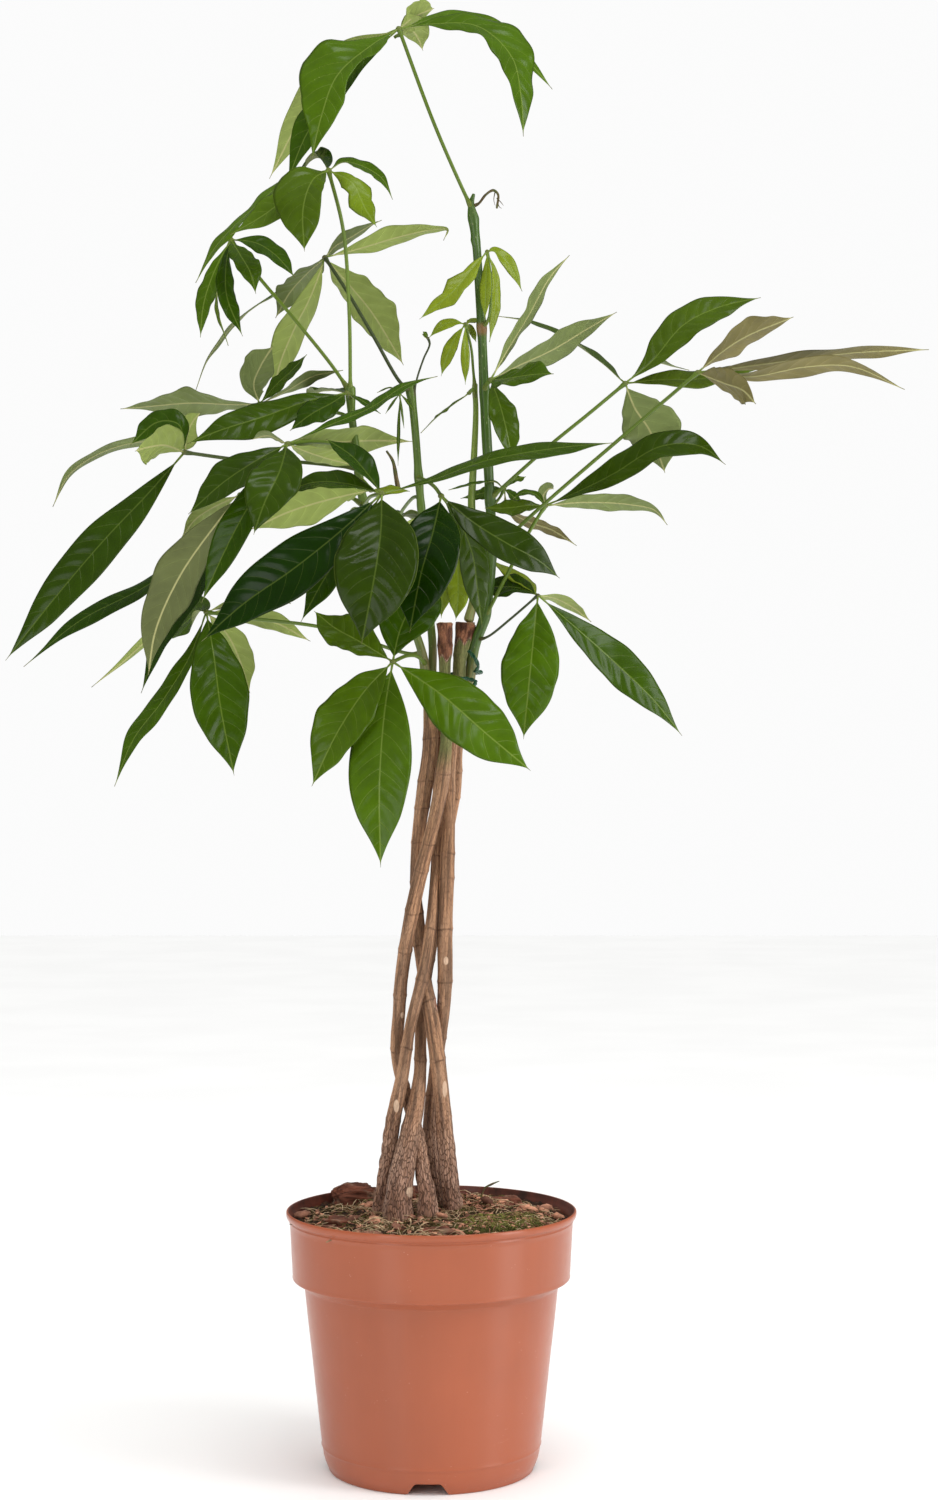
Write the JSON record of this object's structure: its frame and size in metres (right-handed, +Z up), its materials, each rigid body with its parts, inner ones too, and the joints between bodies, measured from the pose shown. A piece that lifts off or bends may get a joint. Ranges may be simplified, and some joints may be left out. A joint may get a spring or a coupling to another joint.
{
  "type": "potted money tree",
  "caption": "Money tree with braided trunks, green shoots and hand-shaped compound leaves, growing in a tapered plastic nursery pot filled with soil.",
  "frame": {"origin": "centre of the pot's underside, where it stands", "axes": "+Z up along the pot and the trunks, -Y towards the side that is seen in the picture, +X to its right"},
  "size_m": [0.7467, 0.4152, 1.2168],
  "materials": {
    "pot": "terracotta-coloured satin moulded plastic",
    "soil": "damp peat and bark mix, matt and crumbly",
    "bark": "rough bark chunks, matt",
    "moss": "short moss with straw-coloured strands",
    "trunk": "smooth brown bark with lengthwise streaks and pale scars",
    "shoot": "green young bark, slightly waxy",
    "leaf": "glossy deep green upper face, pale grey-green underside",
    "tie": "dark green plastic-coated wire",
    "dry": "withered brown, matt"
  },
  "bodies": {
    "root": {"pot": "pot", "soil": "soil", "bark_1": "bark", "bark_2": "bark", "bark_3": "bark", "bark_4": "bark", "bark_5": "bark", "moss": "moss", "trunk_left": "trunk", "trunk_front": "trunk", "trunk_right": "trunk", "trunk_front_left": "trunk", "trunk_back_right": "trunk", "shoot_main": "shoot", "shoot_second": "shoot", "shoot_left": "shoot", "shoot_mid": "shoot", "withered_bud": "dry", "dead_stalk": "dry", "tie_wire": "tie", "leaf_crown": "leaf", "leaf_upper_left": "leaf", "leaf_far_upper_left": "leaf", "leaf_upper_mid": "leaf", "leaf_young_top": "leaf", "leaf_young_mid": "leaf", "leaf_young_left": "leaf", "leaf_bud": "leaf", "leaf_strip": "leaf", "leaf_right_high": "leaf", "leaf_right_fan": "leaf", "leaf_far_right": "leaf", "leaf_right_low": "leaf", "leaf_small_right": "leaf", "leaf_right_hanging": "leaf", "leaf_front_low": "leaf", "leaf_front_left": "leaf", "leaf_front_mid": "leaf", "leaf_small_mid": "leaf", "leaf_left_fan": "leaf", "leaf_left_long": "leaf", "leaf_far_left": "leaf", "leaf_left_back": "leaf", "leaf_lower_left": "leaf", "leaf_low_left": "leaf", "leaf_pale_left": "leaf", "leaf_back": "leaf"}
  },
  "joints": []
}
